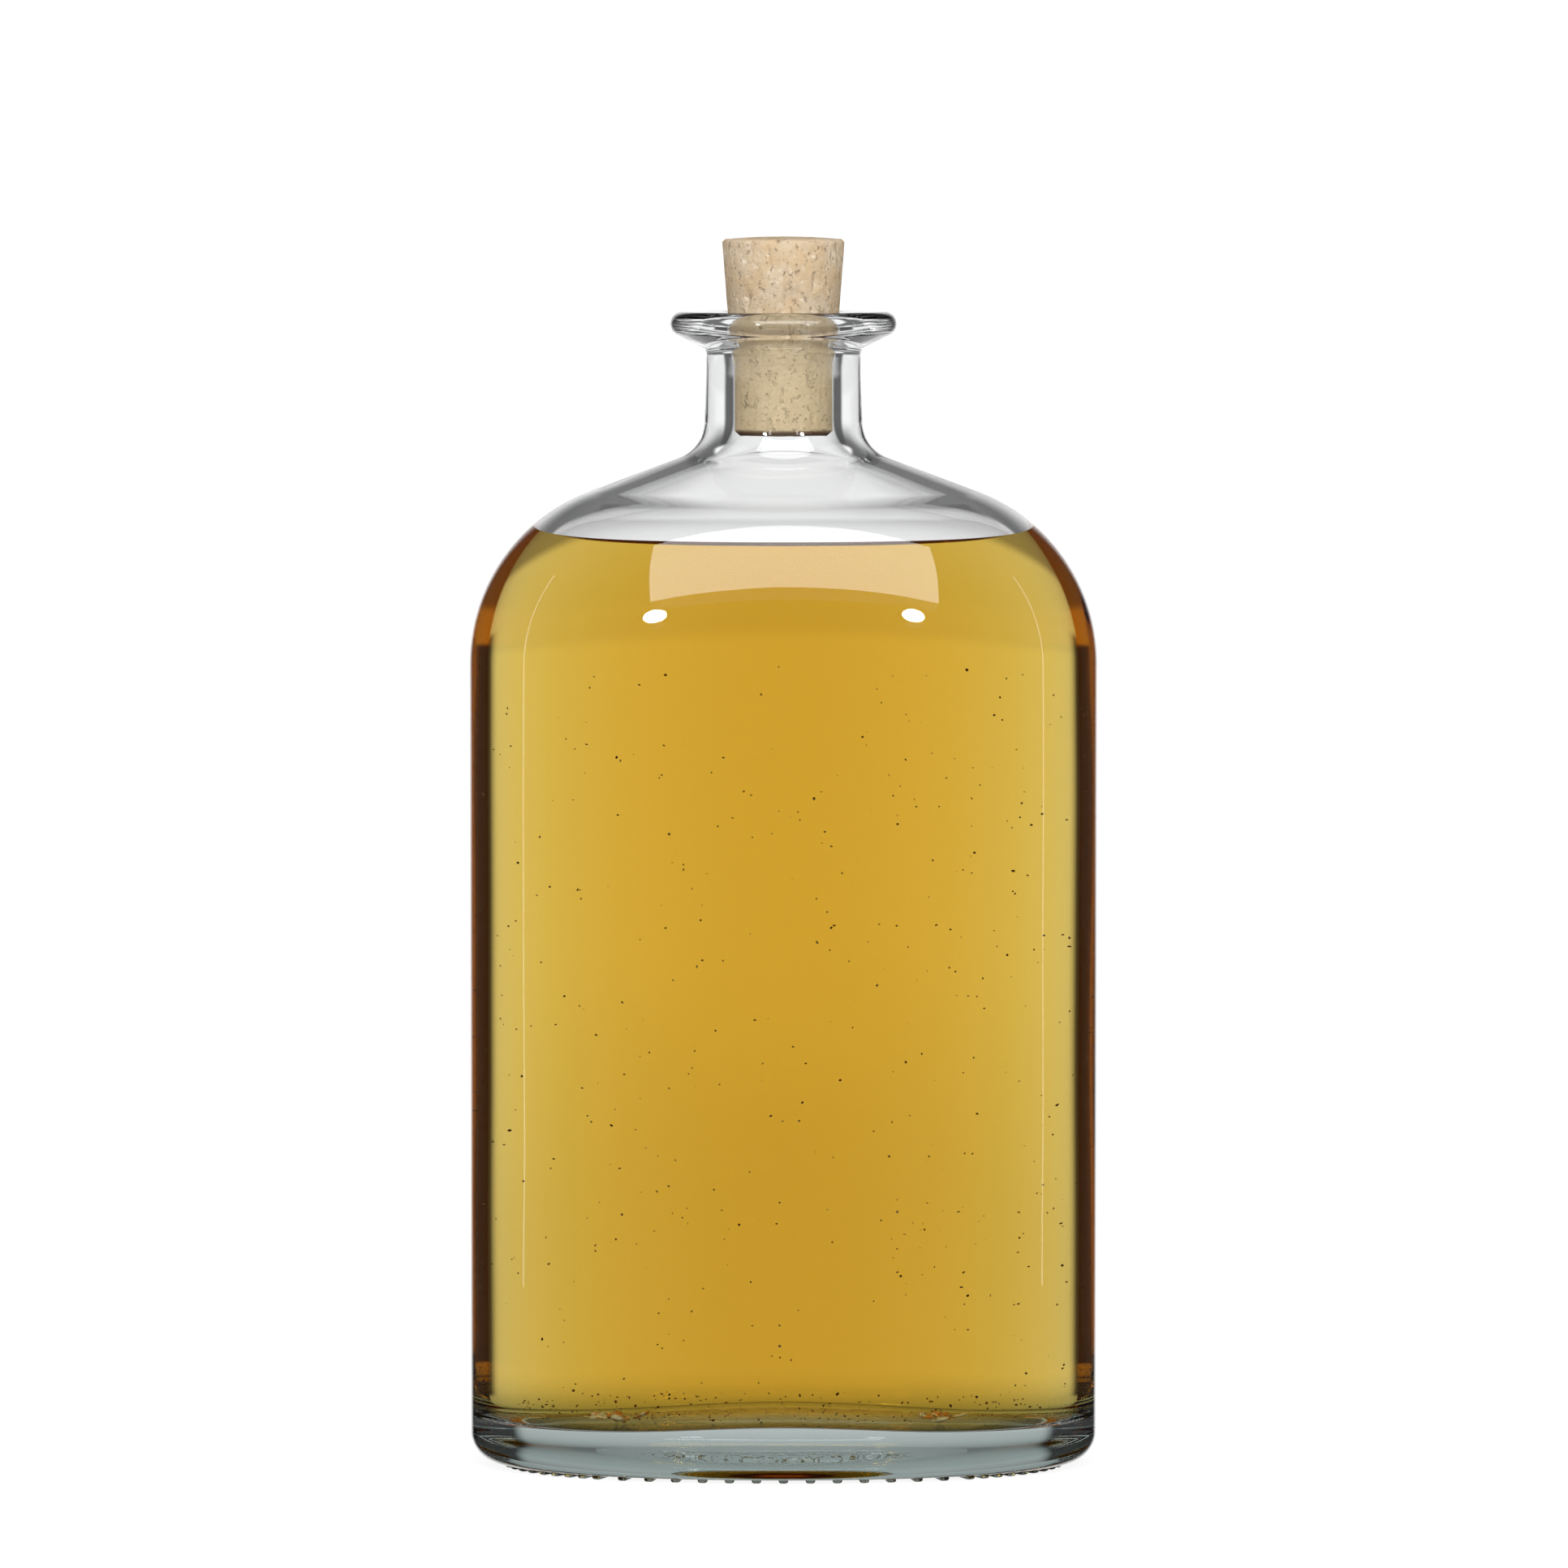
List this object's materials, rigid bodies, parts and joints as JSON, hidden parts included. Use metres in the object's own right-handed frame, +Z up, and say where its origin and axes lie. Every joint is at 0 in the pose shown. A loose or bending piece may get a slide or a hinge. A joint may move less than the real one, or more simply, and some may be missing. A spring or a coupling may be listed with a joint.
{
  "type": "glass bottle",
  "caption": "Flat oval clear glass bottle with a wide lip, an amber liquid filling and a tapered cork stopper that pulls out.",
  "frame": {"origin": "middle of the base, on the surface that the bottle stands on", "axes": "+Z up along the neck, +X across the wide face, +Y towards the back"},
  "size_m": [0.113, 0.061, 0.2218],
  "materials": {
    "clear_glass": "clear, smooth, fire-polished",
    "amber_liquid": "clear liquid with a few fine specks",
    "natural_cork": "matt natural cork with streaks and pits"
  },
  "bodies": {
    "bottle": {"bottle": "clear_glass", "liquid": "amber_liquid"},
    "stopper": {"cork_stopper": "natural_cork"}
  },
  "joints": [
    {"name": "stopper_pull", "type": "slide", "parent": "bottle", "child": "stopper", "axis": [0, 0, 1], "range_m": [0, 0.045]}
  ]
}
